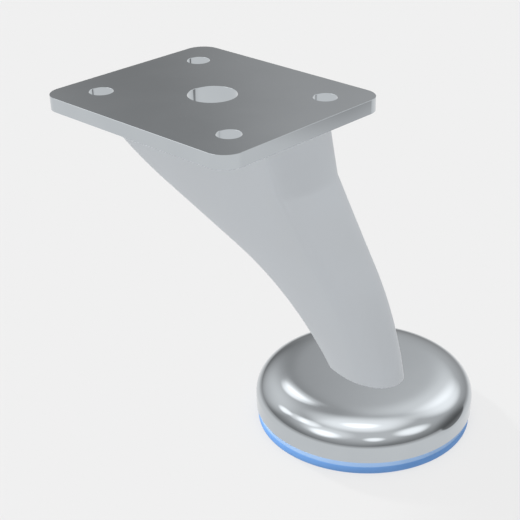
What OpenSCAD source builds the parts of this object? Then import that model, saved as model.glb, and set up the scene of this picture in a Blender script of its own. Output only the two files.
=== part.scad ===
// Leaning sofa leg. A mounting plate, a curved column and a round foot are one casting, and a moulded
// glide is pressed into the foot from below. The origin is the middle of the plate's top face, which is
// screwed up against the seat frame. The column leans along +X, and everything is symmetrical about Y = 0.

/* [Whole leg] */
// Height from the floor to the top of the mounting plate
leg_h = 80; // [72:1:110]
// How far the middle of the foot stands out from the middle of the plate
foot_reach = 56; // [46:1:66]

/* [Mounting plate] */
// Length of the plate, along the lean
plate_l = 72; // [70:1:90]
// Width of the plate
plate_w = 62.5; // [56:0.5:80]
// Thickness of the plate
plate_t = 4; // [3:0.5:6]
// Radius of the plate's corners
plate_corner_r = 6; // [3:0.5:10]

/* [Fixing] */
// Distance between the screw holes along the plate
screw_pitch_l = 50; // [44:1:56]
// Distance between the screw holes across the plate
screw_pitch_w = 37.5; // [36:0.5:44]
// Diameter of the screw holes
screw_hole_d = 6.8; // [4:0.2:8]
// Diameter of the socket in the middle of the plate
socket_d = 14; // [8:1:18]
// Depth of the socket
socket_depth = 12; // [8:1:14]

/* [Column] */
// Length of the column where it meets the plate
column_top_l = 70; // [60:1:70]
// Width of the column where it meets the plate
column_top_w = 26; // [20:1:26]
// Length of the column where it meets the foot
column_base_l = 20; // [16:1:26]
// Width of the column where it meets the foot
column_base_w = 15.2; // [12:0.2:20]
// How far the middle of the column's base lies beyond the middle of the foot
column_base_shift = 2.2; // [0:0.2:4]
// Length of the rounded nose where the column meets the plate
nose_top_l = 4; // [2:0.5:8]
// Length of the rounded nose where the column meets the foot
nose_base_l = 10; // [6:0.5:12]
// Width of the rear face, as a share of the column's width
rear_face_share = 0.8; // [0.6:0.05:0.9]
// Radius of the column's two rear edges
rear_edge_r = 1; // [0.5:0.25:2]

/* [Column curves] */
// Height of the straight collar under the plate
collar_h = 13; // [8:1:16]
// Lean of the collar's front edge from upright
collar_front_lean = 20; // [10:1:28]
// Lean of the collar's rear edge from upright
collar_rear_lean = 23; // [15:1:30]
// Lean of the front edge where it is straight
front_lean = 37.5; // [30:0.5:45]
// Lean of the front edge where it meets the foot
front_foot_lean = 14; // [5:1:20]
// Share of the front edge, below the collar, that is straight
front_straight_share = 0.44; // [0.3:0.02:0.6]
// Lean of the rear edge where it leaves the collar
rear_collar_lean = 57; // [50:1:62]
// Lean of the rear edge where it is straight
rear_lean = 67; // [63:1:70]
// Lean of the rear edge where it meets the foot
rear_foot_lean = 33; // [20:1:40]
// Share of the rear edge, below the collar, that steepens first
rear_belly_share = 0.18; // [0.1:0.02:0.26]
// Share of the rear edge, below the collar, that is straight
rear_straight_share = 0.25; // [0.1:0.05:0.35]

/* [Foot] */
// Diameter of the foot
foot_d = 60; // [56:1:76]
// Height of the foot's metal
foot_h = 10.2; // [9:0.2:14]
// Height of the upright wall round the foot
foot_wall_h = 3.4; // [2:0.2:5]
// How far the rounded shoulder reaches in from the wall
shoulder_l = 13; // [8:0.5:18]
// How gently the shoulder leaves the flat top; 2 makes it an ellipse
shoulder_power = 3; // [2:0.25:4]

/* [Glide] */
// Diameter of the glide
glide_d = 59; // [52:0.5:60]
// Thickness of the glide
glide_t = 3.8; // [3:0.2:6]
// Height of the chamfer round the glide's upper edge
glide_chamfer_h = 1.7; // [0.5:0.1:2]
// Width of that chamfer
glide_chamfer_w = 1.5; // [0.5:0.1:2]
// Diameter of the glide's locating stud
stud_d = 10; // [6:0.5:14]
// Height of the locating stud above the glide
stud_h = 5; // [3:0.5:6]

/* [Hidden] */

// Room round the stud in its pocket, and above it
stud_side_gap = 0.05;
stud_end_gap = 0.5;
// How deep the column is rooted in the plate and in the foot
root_h = 2;
// How far a cutting tool runs past a face
past = 1;

// Levels, measured up from the plate's top face
floor_z = -leg_h;
foot_z = floor_z + glide_t;
column_top_z = -plate_t;
column_base_z = foot_z + foot_h;
column_h = column_top_z - column_base_z;
curve_h = column_h - collar_h;

// Ends of the column's front and rear edges
top_front = column_top_l / 2;
top_rear = -column_top_l / 2;
base_front = foot_reach + column_base_shift + column_base_l / 2;
base_rear = base_front - column_base_l;

// Stretches of the two edges from the plate down: drop, lean where it starts, lean where it ends
front_edge = [
    [collar_h, collar_front_lean, collar_front_lean],
    [curve_h * front_straight_share, front_lean, front_lean],
    [curve_h * (1 - front_straight_share), front_lean, front_foot_lean]
];
rear_edge = [
    [collar_h, collar_rear_lean, collar_rear_lean],
    [curve_h * rear_belly_share, rear_collar_lean, rear_lean],
    [curve_h * rear_straight_share, rear_lean, rear_lean],
    [curve_h * (1 - rear_belly_share - rear_straight_share), rear_lean, rear_foot_lean]
];

// How finely the column is drawn, down its length and round one section
collar_steps = 4;
curve_steps = 30;
nose_steps = 14;
side_steps = 6;
edge_steps = 3;

// Steps round a full circle, and round the foot's shoulder
$fn = 120;
shoulder_steps = 16;

// Lean at a given part of an arc that turns evenly from one lean to the other
function lean_at(part, from, to) = asin(sin(from) + (sin(to) - sin(from)) * part);

// How far an edge reaches forward over a drop, through its stretches
function reach(edge, drop, k = 0) =
    k == len(edge) ? 0 :
    let (part = min(drop / edge[k][0], 1), lean = lean_at(part, edge[k][1], edge[k][2]))
    part * edge[k][0] * tan((edge[k][1] + lean) / 2)
    + (drop > edge[k][0] ? reach(edge, drop - edge[k][0], k + 1) : 0);

// Place of an edge at a drop, stretched so that it ends where the foot needs it
function edge_x(edge, drop, top, base) =
    top + (base - top) * reach(edge, drop) / reach(edge, column_h);

// A value that changes evenly from the column's top to its base
function taper(top, base, drop) = top + (base - top) * drop / column_h;

// Outline of one level section: nose, side, rear edge, rear edge, side
function section(rear, front, half_w, nose_l) =
    let (
        widest = front - nose_l,
        corner_y = half_w * rear_face_share - rear_edge_r,
        turn = atan(2 * half_w * (1 - rear_face_share) / (widest - rear)),
        side_x = rear + rear_edge_r * (1 - sin(turn)),
        side_y = corner_y + rear_edge_r * cos(turn),
        side = [for (i = [1 : side_steps - 1])
            let (u = i / side_steps)
            [widest + (side_x - widest) * u, half_w - (half_w - side_y) * u * u]],
        corner = [for (i = [0 : edge_steps])
            let (a = 90 + turn + (90 - turn) * i / edge_steps)
            [rear + rear_edge_r * (1 + cos(a)), corner_y + rear_edge_r * sin(a)]],
        half = concat(side, corner)
    )
    concat(
        [for (i = [0 : nose_steps])
            let (a = -90 + 180 * i / nose_steps)
            [widest + nose_l * cos(a), half_w * sin(a)]],
        half,
        [for (i = [len(half) - 1 : -1 : 0]) [half[i][0], -half[i][1]]]
    );

// One ring of points at a drop below the plate, a section or its copy in the plate or the foot
function ring(drop) =
    let (
        d = min(max(drop, 0), column_h),
        rear = edge_x(rear_edge, d, top_rear, base_rear),
        front = edge_x(front_edge, d, top_front, base_front),
        half_w = taper(column_top_w, column_base_w, d) / 2,
        nose_l = taper(nose_top_l, nose_base_l, d)
    )
    [for (p = section(rear, front, half_w, nose_l)) [p[0], p[1], column_top_z - drop]];

module column() {
    drops = concat(
        [-root_h],
        [for (i = [0 : collar_steps - 1]) collar_h * i / collar_steps],
        [for (i = [0 : curve_steps]) collar_h + curve_h * i / curve_steps],
        [column_h + root_h]
    );
    rings = [for (d = drops) ring(d)];
    n = len(rings[0]);
    last = len(rings) - 1;
    walls = [for (i = [0 : last - 1]) for (j = [0 : n - 1])
        let (a = i * n + j, b = i * n + (j + 1) % n)
        each [[a, b, b + n], [a, b + n, a + n]]];
    polyhedron(
        points = [for (r = rings) each r],
        faces = concat(
            [[for (j = [n - 1 : -1 : 0]) j]],
            walls,
            [[for (j = [0 : n - 1]) last * n + j]]
        )
    );
}

// The plate without its holes: two crossed blocks and four round corners
module plate_blank() {
    translate([0, 0, -plate_t]) linear_extrude(plate_t) {
        square([plate_l - 2 * plate_corner_r, plate_w], center = true);
        square([plate_l, plate_w - 2 * plate_corner_r], center = true);
        for (sx = [-1, 1], sy = [-1, 1])
            translate([sx * (plate_l / 2 - plate_corner_r), sy * (plate_w / 2 - plate_corner_r)])
                circle(r = plate_corner_r);
    }
}

// The foot as turned: upright wall, shoulder that eases into the top, flat top
module foot_blank() {
    shoulder_h = foot_h - foot_wall_h;
    translate([foot_reach, 0, foot_z]) rotate_extrude()
        polygon(concat(
            [[0, 0]],
            [[foot_d / 2, 0]],
            [for (i = [0 : shoulder_steps])
                let (a = 90 * i / shoulder_steps)
                [foot_d / 2 - shoulder_l * (1 - pow(cos(a), 2 / shoulder_power)),
                    foot_wall_h + shoulder_h * sin(a)]],
            [[0, foot_h]]
        ));
}

module screw_holes() {
    for (sx = [-1, 1], sy = [-1, 1])
        translate([sx * screw_pitch_l / 2, sy * screw_pitch_w / 2, -plate_t - past])
            cylinder(d = screw_hole_d, h = plate_t + 2 * past);
}

// The blind socket that opens in the plate's top face
module socket() {
    translate([0, 0, -socket_depth]) cylinder(d = socket_d, h = socket_depth + past);
}

// The blind pocket under the foot that takes the glide's stud
module stud_pocket() {
    translate([foot_reach, 0, foot_z - past])
        cylinder(d = stud_d + 2 * stud_side_gap, h = past + stud_h + stud_end_gap);
}

// The casting: plate, column and foot in one piece
module leg() {
    color("silver") difference() {
        union() {
            plate_blank();
            column();
            foot_blank();
        }
        screw_holes();
        socket();
        stud_pocket();
    }
}

// The moulded pad that the leg stands on, with its stud
module glide() {
    rim_r = glide_d / 2;
    color("cornflowerblue") translate([foot_reach, 0, floor_z]) rotate_extrude()
        polygon([
            [0, 0],
            [rim_r, 0],
            [rim_r, glide_t - glide_chamfer_h],
            [rim_r - glide_chamfer_w, glide_t],
            [stud_d / 2, glide_t],
            [stud_d / 2, glide_t + stud_h],
            [0, glide_t + stud_h]
        ]);
}

leg();
glide();
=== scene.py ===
"""Looks of a leaning sofa leg: one polished casting on a moulded glide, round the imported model."""
import math

import bmesh
import bpy
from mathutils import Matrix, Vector


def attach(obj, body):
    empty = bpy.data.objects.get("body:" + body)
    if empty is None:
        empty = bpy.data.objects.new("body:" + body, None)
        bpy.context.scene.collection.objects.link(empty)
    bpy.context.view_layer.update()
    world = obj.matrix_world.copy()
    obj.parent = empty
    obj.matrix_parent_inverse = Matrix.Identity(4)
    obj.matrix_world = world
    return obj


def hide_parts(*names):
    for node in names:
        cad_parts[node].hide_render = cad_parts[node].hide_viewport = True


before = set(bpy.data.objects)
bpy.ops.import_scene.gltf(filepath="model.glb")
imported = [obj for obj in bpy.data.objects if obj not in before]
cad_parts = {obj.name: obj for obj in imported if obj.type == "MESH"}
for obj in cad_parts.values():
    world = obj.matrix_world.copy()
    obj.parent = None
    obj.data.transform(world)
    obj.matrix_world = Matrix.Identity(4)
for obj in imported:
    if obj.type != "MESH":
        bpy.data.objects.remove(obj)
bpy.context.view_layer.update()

MM = 0.001

# Sizes of the leg, in millimetres, as its drawing gives them
LEG_H = 80
FOOT_REACH = 56
PLATE_L, PLATE_W, PLATE_T, PLATE_CORNER_R = 72, 62.5, 4, 6
SCREW_PITCH_L, SCREW_PITCH_W, SCREW_HOLE_D = 50, 37.5, 6.8
SOCKET_D, SOCKET_DEPTH = 14, 12
COLUMN_TOP_L, COLUMN_TOP_W = 70, 26
COLUMN_BASE_L, COLUMN_BASE_W, COLUMN_BASE_SHIFT = 20, 15.2, 2.2
NOSE_TOP_L, NOSE_BASE_L = 4, 10
REAR_FACE_SHARE, REAR_EDGE_R = 0.8, 1
COLLAR_H = 13
ROOT_H = 2
FOOT_D, FOOT_H, FOOT_WALL_H, SHOULDER_L, SHOULDER_POWER = 60, 10.2, 3.4, 13, 3
GLIDE_D, GLIDE_T, GLIDE_CHAMFER_H, GLIDE_CHAMFER_W = 59, 3.8, 1.7, 1.5
STUD_D, STUD_H, STUD_SIDE_GAP, STUD_END_GAP = 10, 5, 0.05, 0.5

# How far the edges are broken: on plate and foot, round the holes, and on the glide
CAST_EDGE, HOLE_EDGE, GLIDE_EDGE = 0.05, 0.06, 0.3

# Levels, from the plate's top face down
FLOOR_Z = -LEG_H
FOOT_Z = FLOOR_Z + GLIDE_T
GLIDE_SIDE_TOP = FOOT_Z - GLIDE_CHAMFER_H
COLUMN_BASE_Z = FOOT_Z + FOOT_H
COLUMN_H = -PLATE_T - COLUMN_BASE_Z
CURVE_H = COLUMN_H - COLLAR_H

# The column's front and rear edges from the plate down: drop, lean where it starts and where it ends
FRONT_EDGE = [
    (COLLAR_H, 20, 20),
    (CURVE_H * 0.44, 37.5, 37.5),
    (CURVE_H * 0.56, 37.5, 14),
]
REAR_EDGE = [
    (COLLAR_H, 23, 23),
    (CURVE_H * 0.18, 57, 67),
    (CURVE_H * 0.25, 67, 67),
    (CURVE_H * 0.57, 67, 33),
]

# How finely the shapes are drawn: down the column, round one of its sections, and in the round parts
COLLAR_STEPS, CURVE_STEPS = 10, 72
NOSE_STEPS, SIDE_STEPS, REAR_EDGE_STEPS = 32, 14, 5
PLATE_CORNER_STEPS, SHOULDER_STEPS, SOLE_STEPS = 16, 48, 4
ROUND_STEPS, HOLE_STEPS = 192, 96

# How far a cutter runs past a face, the distance within which points are made one, and the turn in
# degrees up to which an edge is shaded smoothly
PAST = 1
WELD = 0.002
CREASE = 30

# Screen colours of the finishes, each from its darker to its lighter tone
POLISHED = (194, 199, 203), (198, 203, 207)
BLASTED = (224, 227, 230), (228, 231, 234)
MOULDED = (104, 150, 209), (110, 156, 215)
# Painted light: the glide's upward chamfer gets this paler blue, as if lit from above
LIT_CHAMFER_BLUE = (134, 163, 200), (140, 169, 206)

# How far beyond plate and foot the blasting starts, how far round the socket there is none, and half
# the width of the line between the glide's side and its chamfer, which is painted paler as painted light
BLAST_GAP, SOCKET_GAP, CHAMFER_LIGHT_BLUR = 0.02, 0.5, 0.1

# The clouds' noise keeps mostly between these two values
CLOUD_LOW, CLOUD_HIGH = 0.3, 0.7

# The ground: tone and glow of its surface, its reach, and the sweep and height of the tent round it
GROUND_TONE, GROUND_GLOW = 0.18, 0.529
FLOOR_R, SWEEP_R, TENT_H = 3000, 2500, 6500
SWEEP_STEPS = 24

# The photograph's camera, in pixels, millimetres and degrees: the picture's side, the focal length, the
# point that the lens looks straight at, the lens's place, and its turn and its look down
PICTURE_PX, FOCAL_PX, CENTRE_X_PX, CENTRE_Y_PX = 520, 1163.5, 305.85, 311.7
SENSOR_W = 36
LENS_PLACE = (224.205, -214.921, 106.486)
YAW, PITCH = 41.444, 29.573
NEAREST, FARTHEST = 0.01, 30

# The studio's walls: brightness at the horizon and high up, and the sine of the elevation where they
# reach it
WALLS_LOW, WALLS_HIGH, WALLS_TOP = 0.27, 0.635, 0.75

# Soft lights of the studio: azimuth, elevation, half-angle, softness, brightness. The ones that take
# light away stand for cloths
SOFT_LIGHTS = [
    (140, 84, 15, 16, 0.72),
    (140, 85, 5, 6, 0.6),
    (108, 41, 9, 9.5, 0.30),
    (83, 41, 10, 14, 0.62),
    (147, 42, 2.5, 5.5, 1.0),
    (141, 40, 3, 3.3, 0.54),
    (205, 37, 4.2, 5.3, 0.91),
    (219, 46, 6, 6, 0.50),
    (229, 52, 2.5, 10, 0.70),
    (265, 37, 10, 7.4, 0.78),
    (321, 36, 5.7, 5.8, 0.87),
    (10, 43, 9.6, 9.7, 0.90),
    (92, 21, 28, 14, 0.17),
    (178, 30, 18.5, 21, 1.23),
    (287, 46, 46, 12, 0.13),
    (264, 44, 10.6, 17, 0.41),
    (48, 5, 16.5, 14, -0.14),
    (176, 32, 23, 19, -0.90),
]

# The table as the polish sees it: its glow close by and far off, and the heights between which it fades
TABLE_GLOW, TABLE_FAR = 0.871, 0.47
FADE_START, FADE_END = -0.3, 0.02

# A dark card at the table's edge and the soft dimness round it: azimuth, elevation, half-angle, softness,
# and the share of the light that is left
DARK_CARD, CARD_TONE = (48.9, -1.7, 18.45, 1.9), 0.3
CARD_HALO, HALO_TONE = (48.8, -1.7, 26, 9), 0.93

# Lamps on the table and the glide: name, azimuth, elevation, strength, width, whether it casts shadows
LAMPS = [
    ("low_lamp", 178, 30, 1.1, 4, True),
    ("soft_lamp", 220, 60, 2.85, 20, False),
]


def reach(edge, drop):
    """How far an edge of straight stretches and arcs reaches forward over a drop."""
    total = 0
    for height, start, end in edge:
        start, end = math.radians(start), math.radians(end)
        part = min(drop / height, 1)
        lean = math.asin(math.sin(start) + (math.sin(end) - math.sin(start)) * part)
        total += part * height * math.tan((start + lean) / 2)
        drop -= height
        if drop <= 0:
            break
    return total


def edge_x(edge, drop, top, base):
    """Place of an edge at a drop, between its two known ends."""
    return top + (base - top) * reach(edge, drop) / reach(edge, COLUMN_H)


def taper(top, base, drop):
    """A value that changes evenly from the column's top to its base."""
    return top + (base - top) * drop / COLUMN_H


def arc(centre, size, start, end, steps):
    """Points of an arc, or of an ellipse's part, in degrees."""
    turns = [math.radians(start + (end - start) * i / steps) for i in range(steps + 1)]
    return [(centre[0] + size[0] * math.cos(t), centre[1] + size[1] * math.sin(t)) for t in turns]


def column_section(drop):
    """Outline of the column at a drop: rounded nose, bowed side, rounded rear edge, and back."""
    drop = min(max(drop, 0), COLUMN_H)
    base_front = FOOT_REACH + COLUMN_BASE_SHIFT + COLUMN_BASE_L / 2
    rear = edge_x(REAR_EDGE, drop, -COLUMN_TOP_L / 2, base_front - COLUMN_BASE_L)
    front = edge_x(FRONT_EDGE, drop, COLUMN_TOP_L / 2, base_front)
    half_w = taper(COLUMN_TOP_W, COLUMN_BASE_W, drop) / 2
    nose_l = taper(NOSE_TOP_L, NOSE_BASE_L, drop)
    widest = front - nose_l
    corner_y = half_w * REAR_FACE_SHARE - REAR_EDGE_R
    turn = math.degrees(math.atan(2 * half_w * (1 - REAR_FACE_SHARE) / (widest - rear)))
    corner = arc((rear + REAR_EDGE_R, corner_y), (REAR_EDGE_R, REAR_EDGE_R), 90 + turn, 180,
                 REAR_EDGE_STEPS)
    side_x, side_y = corner[0]
    side = []
    for i in range(1, SIDE_STEPS):
        part = i / SIDE_STEPS
        side.append((widest + (side_x - widest) * part, half_w - (half_w - side_y) * part ** 2))
    half = side + corner
    nose = arc((widest, 0), (nose_l, half_w), -90, 90, NOSE_STEPS)
    return nose + half + [(x, -y) for x, y in reversed(half)]


def ring(bm, points, z):
    """A closed loop of edges at one level."""
    verts = [bm.verts.new((x * MM, y * MM, z * MM)) for x, y in points]
    return [bm.edges.new(pair) for pair in zip(verts, verts[1:] + verts[:1])]


def column_shape():
    """The column, bridged through level sections, with its ends sunk in the plate and the foot."""
    bm = bmesh.new()
    drops = [-ROOT_H] + [COLLAR_H * i / COLLAR_STEPS for i in range(COLLAR_STEPS)]
    drops += [COLLAR_H + CURVE_H * i / CURVE_STEPS for i in range(CURVE_STEPS + 1)]
    drops.append(COLUMN_H + ROOT_H)
    rings = [ring(bm, column_section(drop), -PLATE_T - drop) for drop in drops]
    for upper, lower in zip(rings, rings[1:]):
        bmesh.ops.bridge_loops(bm, edges=upper + lower)
    bmesh.ops.edgeloop_fill(bm, edges=rings[0])
    bmesh.ops.edgeloop_fill(bm, edges=rings[-1])
    return bm


def plate_shape():
    """The plate: a sheet with rounded corners, drawn down to its thickness, its upper edge just broken."""
    bm = bmesh.new()
    bmesh.ops.create_grid(bm, x_segments=1, y_segments=1, size=0.5 * MM)
    bmesh.ops.scale(bm, verts=bm.verts, vec=(PLATE_L, PLATE_W, 1))
    bmesh.ops.bevel(bm, geom=bm.verts[:], offset=PLATE_CORNER_R * MM, affect="VERTICES",
                    segments=PLATE_CORNER_STEPS, profile=0.5, material=-1)
    drawn = bmesh.ops.extrude_face_region(bm, geom=bm.faces[:])
    low = [v for v in drawn["geom"] if isinstance(v, bmesh.types.BMVert)]
    bmesh.ops.translate(bm, verts=low, vec=(0, 0, -PLATE_T * MM))
    rim = [e for e in bm.edges if min(v.co.z for v in e.verts) > -PLATE_T / 2 * MM]
    bmesh.ops.bevel(bm, geom=rim, offset=CAST_EDGE * MM, affect="EDGES", segments=1, profile=0.5,
                    material=-1)
    return bm


def turned(profile, centre_x=0, centre_y=0, steps=ROUND_STEPS):
    """A turned solid: a profile of radius and height, spun round an upright axis."""
    bm = bmesh.new()
    verts = [bm.verts.new(((centre_x + r) * MM, centre_y * MM, z * MM)) for r, z in profile]
    edges = [bm.edges.new(pair) for pair in zip(verts, verts[1:])]
    bmesh.ops.spin(bm, geom=verts + edges, cent=(centre_x * MM, centre_y * MM, 0), axis=(0, 0, 1),
                   angle=math.tau, steps=steps, use_merge=True)
    return bm


def foot_shape():
    """The foot as turned: upright wall, shoulder that eases into the top, flat top."""
    shoulder_h = FOOT_H - FOOT_WALL_H
    shoulder = []
    for i in range(SHOULDER_STEPS + 1):
        turn = math.radians(90 * i / SHOULDER_STEPS)
        out = abs(math.cos(turn)) ** (2 / SHOULDER_POWER) if i < SHOULDER_STEPS else 0
        shoulder.append((FOOT_D / 2 - SHOULDER_L * (1 - out),
                         FOOT_Z + FOOT_WALL_H + shoulder_h * math.sin(turn)))
    rim = [(FOOT_D / 2 - CAST_EDGE, FOOT_Z), (FOOT_D / 2, FOOT_Z + CAST_EDGE)]
    return turned([(0, FOOT_Z)] + rim + shoulder + [(0, COLUMN_BASE_Z)], FOOT_REACH)


def hole_cutter(radius, bottom, x=0, y=0, through=True):
    """What a drilled hole takes away: its bore, with the rims just broken."""
    mouth_r = radius + HOLE_EDGE + PAST
    lower = [(0, bottom), (radius, bottom)]
    if through:
        lower = [(0, bottom - PAST), (mouth_r, bottom - PAST), (radius, bottom + HOLE_EDGE)]
    upper = [(radius, -HOLE_EDGE), (mouth_r, PAST), (0, PAST)]
    return turned(lower + upper, x, y, HOLE_STEPS)


def pocket_cutter():
    """What the pocket for the glide's stud takes away from under the foot."""
    radius = STUD_D / 2 + STUD_SIDE_GAP
    bottom, top = FOOT_Z - PAST, FOOT_Z + STUD_H + STUD_END_GAP
    return turned([(0, bottom), (radius, bottom), (radius, top), (0, top)], FOOT_REACH, steps=HOLE_STEPS)


def glide_shape():
    """The glide: a pad with a chamfer round its upper edge, and the stud that holds it in the foot."""
    r, stud_r = GLIDE_D / 2, STUD_D / 2
    sole = arc((r - GLIDE_EDGE, FLOOR_Z + GLIDE_EDGE), (GLIDE_EDGE, GLIDE_EDGE), -90, 0, SOLE_STEPS)
    return turned([(0, FLOOR_Z)] + sole + [
        (r, GLIDE_SIDE_TOP - GLIDE_EDGE / 3),
        (r - GLIDE_EDGE / 3, GLIDE_SIDE_TOP + GLIDE_EDGE / 3),
        (r - GLIDE_CHAMFER_W, FOOT_Z),
        (stud_r, FOOT_Z),
        (stud_r, FOOT_Z + STUD_H - GLIDE_EDGE),
        (stud_r - GLIDE_EDGE, FOOT_Z + STUD_H),
        (0, FOOT_Z + STUD_H),
    ], FOOT_REACH)


def linked(name, data):
    """An object with this data, at the scene's origin."""
    made = bpy.data.objects.new(name, data)
    bpy.context.scene.collection.objects.link(made)
    return made


def with_mesh(name, bm):
    """An object that has the shape as its mesh."""
    mesh = bpy.data.meshes.new(name)
    bm.to_mesh(mesh)
    bm.free()
    return linked(name, mesh)


def as_object(name, bm):
    """An object with the shape's closed mesh, facing outwards."""
    bmesh.ops.remove_doubles(bm, verts=bm.verts, dist=WELD * MM)
    bmesh.ops.recalc_face_normals(bm, faces=bm.faces)
    return with_mesh(name, bm)


def joined(name, body, others, operation):
    """The body with the others added to it or cut from it, as one object."""
    for other in others:
        step = body.modifiers.new("step", "BOOLEAN")
        step.operation, step.solver, step.object = operation, "EXACT", other
    bpy.context.view_layer.update()
    shown = body.evaluated_get(bpy.context.evaluated_depsgraph_get())
    mesh = bpy.data.meshes.new_from_object(shown)
    mesh.name = name
    for used in [body] + others:
        bpy.data.objects.remove(used)
    return linked(name, mesh)


def smooth(piece):
    """Round faces shade smoothly, and sharp edges stay crisp."""
    piece.data.polygons.foreach_set("use_smooth", [True] * len(piece.data.polygons))
    piece.data.set_sharp_from_angle(angle=math.radians(CREASE))
    return piece


def make_casting():
    """Plate, column and foot in one, with the screw holes, the socket and the glide's pocket."""
    solid = joined("solid", as_object("plate", plate_shape()),
                   [as_object("column", column_shape()), as_object("foot", foot_shape())], "UNION")
    cutters = [as_object("socket", hole_cutter(SOCKET_D / 2, -SOCKET_DEPTH, through=False))]
    for sx in (-1, 1):
        for sy in (-1, 1):
            place = (sx * SCREW_PITCH_L / 2, sy * SCREW_PITCH_W / 2)
            cutters.append(as_object("screw_hole", hole_cutter(SCREW_HOLE_D / 2, -PLATE_T, *place)))
    cutters.append(as_object("pocket", pocket_cutter()))
    return smooth(joined("leg_casting", solid, cutters, "DIFFERENCE"))


def make_glide():
    return smooth(as_object("glide_pad", glide_shape()))


class Wire:
    """A node's output. Sums written with it add Math nodes to its tree."""

    def __init__(self, tree, socket):
        self.tree, self.socket = tree, socket

    def math(self, operation, *values):
        return self.tree.node("ShaderNodeMath", {"operation": operation}, dict(enumerate(values)))

    def __add__(self, other):
        return self.math("ADD", self, other)

    def __radd__(self, other):
        return self.math("ADD", other, self)

    def __sub__(self, other):
        return self.math("SUBTRACT", self, other)

    def __rsub__(self, other):
        return self.math("SUBTRACT", other, self)

    def __mul__(self, other):
        return self.math("MULTIPLY", self, other)

    def __rmul__(self, other):
        return self.math("MULTIPLY", other, self)


class Tree:
    """Builds the node tree of a material or of the world."""

    def __init__(self, owner):
        owner.use_nodes = True
        self.tree = owner.node_tree
        self.tree.nodes.clear()

    def node(self, kind, settings=None, inputs=None, output=0):
        """Adds a node: its settings first, then the values or wires of its inputs."""
        made = self.tree.nodes.new(kind)
        for name, value in (settings or {}).items():
            setattr(made, name, value)
        for name, value in (inputs or {}).items():
            if isinstance(value, Wire):
                self.tree.links.new(value.socket, made.inputs[name])
            else:
                made.inputs[name].default_value = value
        return Wire(self, made.outputs[output]) if len(made.outputs) else None

    def place(self):
        return self.node("ShaderNodeTexCoord", output="Object")

    def height(self, vector):
        return self.node("ShaderNodeSeparateXYZ", {}, {"Vector": vector}, "Z")

    def noise(self, vector, scale, detail, roughness=0.5):
        return self.node("ShaderNodeTexNoise", {}, {"Vector": vector, "Scale": scale, "Detail": detail,
                                                    "Roughness": roughness})

    def stretched(self, vector, scale):
        return self.node("ShaderNodeMapping", {}, {"Vector": vector, "Scale": scale})

    def spread(self, value, low, high, to_low, to_high):
        """A value carried smoothly from one range to another."""
        return self.node("ShaderNodeMapRange", {"interpolation_type": "SMOOTHSTEP"},
                         {"Value": value, "From Min": low, "From Max": high, "To Min": to_low,
                          "To Max": to_high})

    def tint(self, factor, first, second):
        """From one colour to the other."""
        return self.node("ShaderNodeMix", {"data_type": "RGBA"}, {0: factor, 6: first, 7: second}, 2)

    def mottled(self, clouds, tones):
        """A colour that drifts with the clouds between two close tones."""
        drift = self.spread(clouds, CLOUD_LOW, CLOUD_HIGH, 0, 1)
        return self.tint(drift, colour(*tones[0]), colour(*tones[1]))

    def bump(self, height, strength, distance):
        return self.node("ShaderNodeBump", {}, {"Height": height, "Strength": strength,
                                                "Distance": distance})

    def surface(self, gone=None, **inputs):
        """The one shader of a material, see-through where gone is 1."""
        named = {name.replace("_", " ").title().replace("Ior", "IOR"): value
                 for name, value in inputs.items()}
        shader = self.node("ShaderNodeBsdfPrincipled", {}, named)
        if gone:
            clear = self.node("ShaderNodeBsdfTransparent")
            shader = self.node("ShaderNodeMixShader", {}, {0: gone, 1: shader, 2: clear})
        self.node("ShaderNodeOutputMaterial", {}, {"Surface": shader})


def colour(red, green, blue):
    """A screen colour, 0 to 255, as the light values that shaders take."""
    values = [v / 255 for v in (red, green, blue)]
    return (*[v / 12.92 if v <= 0.04045 else ((v + 0.055) / 1.055) ** 2.4 for v in values], 1)


def polished_metal():
    """Cast metal: plate and foot are polished bright, and the column between them is blasted satin."""
    made = bpy.data.materials.new("polished_metal")
    t = Tree(made)
    place = t.place()
    z = t.height(place)
    below_plate = z.math("LESS_THAN", z, (-PLATE_T - BLAST_GAP) * MM)
    above_foot = z.math("GREATER_THAN", z, (COLUMN_BASE_Z + BLAST_GAP) * MM)
    flat = t.node("ShaderNodeVectorMath", {"operation": "MULTIPLY"}, {0: place, 1: (1, 1, 0)})
    off_axis = t.node("ShaderNodeVectorMath", {"operation": "LENGTH"}, {0: flat}, "Value")
    beside_socket = off_axis.math("GREATER_THAN", off_axis, (SOCKET_D / 2 + SOCKET_GAP) * MM)
    below_socket = z.math("LESS_THAN", z, -(SOCKET_DEPTH + SOCKET_GAP) * MM)
    satin = below_plate * above_foot * z.math("MAXIMUM", beside_socket, below_socket)
    clouds = t.noise(place, scale=45, detail=3)
    grain = t.noise(place, scale=2600, detail=3)
    hairs = t.noise(t.stretched(place, (60, 60, 2600)), scale=1, detail=2)
    polish = t.spread(clouds, low=0.35, high=CLOUD_HIGH, to_low=0.05, to_high=0.085)
    polish = polish + (hairs - 0.5) * 0.02
    blasted = t.spread(clouds, CLOUD_LOW, CLOUD_HIGH, to_low=0.86, to_high=0.94)
    t.surface(base_color=t.tint(satin, t.mottled(clouds, POLISHED), t.mottled(clouds, BLASTED)),
              metallic=1, roughness=polish * (1 - satin) + blasted * satin,
              normal=t.bump(grain * satin + clouds * 0.5, strength=0.03, distance=0.0001))
    return made


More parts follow.
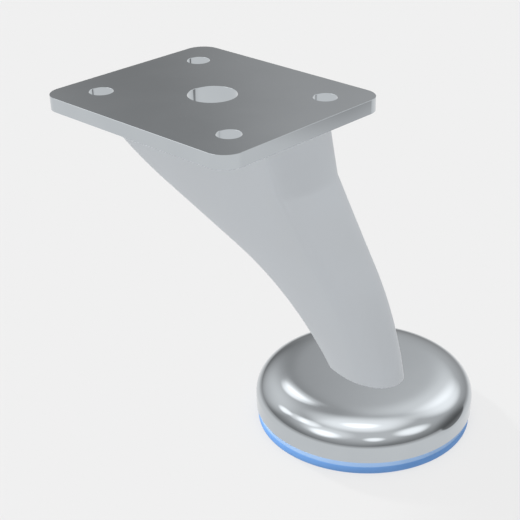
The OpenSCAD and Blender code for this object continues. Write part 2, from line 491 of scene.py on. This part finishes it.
def glide_plastic():
    """Satin moulded plastic with a fine spark-eroded grain, its upward chamfer painted a paler blue as
    painted light.
    """
    made = bpy.data.materials.new("glide_plastic")
    t = Tree(made)
    place = t.place()
    clouds = t.noise(place, scale=70, detail=3)
    grain = t.noise(place, scale=2200, detail=3)
    # Painted light: the chamfer, which faces up, is given the paler blue, as if lit from above
    chamfer = t.spread(t.height(place), (GLIDE_SIDE_TOP - CHAMFER_LIGHT_BLUR) * MM,
                       (GLIDE_SIDE_TOP + CHAMFER_LIGHT_BLUR) * MM, to_low=0, to_high=1)
    t.surface(base_color=t.tint(chamfer, t.mottled(clouds, MOULDED), t.mottled(clouds, LIT_CHAMFER_BLUE)),
              roughness=0.55 + (clouds - 0.5) * 0.1, ior=1.47, specular_ior_level=0.2,
              normal=t.bump(grain, strength=0.12, distance=0.0001))
    return made


def pale_floor():
    """A lit table that takes only a trace of shadow, and that a view from below looks through."""
    made = bpy.data.materials.new("pale_floor")
    t = Tree(made)
    t.surface(gone=t.node("ShaderNodeNewGeometry", output="Backfacing"),
              base_color=(GROUND_TONE, GROUND_TONE, GROUND_TONE, 1), roughness=1, specular_ior_level=0,
              emission_color=(1, 1, 1, 1), emission_strength=GROUND_GLOW)
    return made


def ground_object(name, bm):
    """A part of the studio's ground as an object, its faces turned up and in."""
    bmesh.ops.remove_doubles(bm, verts=bm.verts, dist=MM)
    bmesh.ops.recalc_face_normals(bm, faces=bm.faces)
    bm.faces.ensure_lookup_table()
    if bm.faces[0].normal.z < 0:
        bmesh.ops.reverse_faces(bm, faces=bm.faces)
    return with_mesh(name, bm)


def make_floor():
    """The table top. The polish doesn't see it, but the table that is drawn in the world."""
    bm = bmesh.new()
    bmesh.ops.create_circle(bm, cap_ends=True, radius=FLOOR_R * MM, segments=ROUND_STEPS)
    bmesh.ops.translate(bm, verts=bm.verts, vec=(FOOT_REACH * MM, 0, FLOOR_Z * MM))
    made = ground_object("floor", bm)
    made.visible_glossy = False
    return made


def make_tent():
    """The floor's sweep up into a pale tent, seen by the camera alone."""
    sweep = arc((FLOOR_R, FLOOR_Z + SWEEP_R), (SWEEP_R, SWEEP_R), -90, 0, SWEEP_STEPS)
    roof = arc((0, FLOOR_Z + SWEEP_R), (FLOOR_R + SWEEP_R, TENT_H - SWEEP_R), 0, 90, SWEEP_STEPS)
    made = smooth(ground_object("tent", turned(sweep + roof[1:], FOOT_REACH)))
    made.visible_diffuse = made.visible_glossy = made.visible_shadow = False
    return made


def make_camera():
    """The camera at the photograph's place, with its framing as a small shift."""
    data = bpy.data.cameras.new("camera")
    data.sensor_width = SENSOR_W
    data.lens = FOCAL_PX * SENSOR_W / PICTURE_PX
    data.shift_x = (PICTURE_PX / 2 - CENTRE_X_PX) / PICTURE_PX
    data.shift_y = (CENTRE_Y_PX - PICTURE_PX / 2) / PICTURE_PX
    data.clip_start, data.clip_end = NEAREST, FARTHEST
    made = linked("camera", data)
    made.location = Vector(LENS_PLACE) * MM
    made.rotation_euler = (math.pi / 2 - math.radians(PITCH), 0, math.radians(YAW))
    bpy.context.scene.camera = made


def direction(azimuth, elevation):
    """A direction in the room; azimuth turns from +X to +Y."""
    a, e = math.radians(azimuth), math.radians(elevation)
    return Vector((math.cos(a) * math.cos(e), math.sin(a) * math.cos(e), math.sin(e)))


def light_studio():
    """A grey studio: a lit table below, walls that brighten upwards, and soft lights all round."""
    world = bpy.data.worlds.new("studio")
    bpy.context.scene.world = world
    world.cycles.sampling_method = "NONE"
    t = Tree(world)
    heading = t.node("ShaderNodeTexCoord", output="Generated")
    height = t.height(heading)

    def spot(azimuth, elevation, half_angle, soft, outside, inside):
        """One value outside a round spot of the room and another inside it."""
        facing = t.node("ShaderNodeVectorMath", {"operation": "DOT_PRODUCT"},
                        {0: heading, 1: direction(azimuth, elevation)}, "Value")
        rim = math.cos(math.radians(half_angle + soft))
        core = math.cos(math.radians(max(half_angle - soft, 0)))
        return t.spread(facing, rim, core, outside, inside)

    walls = t.spread(height, 0, WALLS_TOP, WALLS_LOW, WALLS_HIGH)
    for *shape, bright in SOFT_LIGHTS:
        walls = walls + spot(*shape, 0, bright)
    table = t.spread(height, FADE_START, FADE_END, TABLE_GLOW, TABLE_FAR)
    table = table * spot(*DARK_CARD, 1, CARD_TONE) * spot(*CARD_HALO, 1, HALO_TONE)
    above = height.math("GREATER_THAN", height, 0)
    light = walls * above + table * (1 - above)
    grey = t.node("ShaderNodeCombineColor", {}, {"Red": light, "Green": light, "Blue": light})
    glow = t.node("ShaderNodeBackground", {}, {"Color": grey, "Strength": 1})
    t.node("ShaderNodeOutputWorld", {}, {"Surface": glow})


def make_lamp(name, azimuth, elevation, strength, width, shadow):
    """A lamp that lights the table and the glide, and isn't seen in the polish."""
    data = bpy.data.lights.new(name, "SUN")
    data.energy, data.angle, data.use_shadow = strength, math.radians(width), shadow
    made = linked(name, data)
    made.visible_glossy = False
    made.rotation_euler = direction(azimuth, elevation).to_track_quat("Z", "Y").to_euler()


make_camera()

casting = make_casting()
casting.data.materials.append(polished_metal())
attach(casting, "root")
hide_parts("leg")

glide = make_glide()
glide.data.materials.append(glide_plastic())
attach(glide, "root")
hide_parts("glide")

for ground in (make_floor(), make_tent()):
    ground.data.materials.append(pale_floor())

# The polish sees the studio alone, and the casting takes no light from table and glide but by its shadow
light_studio()
for lamp in LAMPS:
    make_lamp(*lamp)
for piece in (casting, glide):
    piece.visible_glossy = False
casting.visible_diffuse = False
bpy.context.scene.view_settings.view_transform = "Standard"
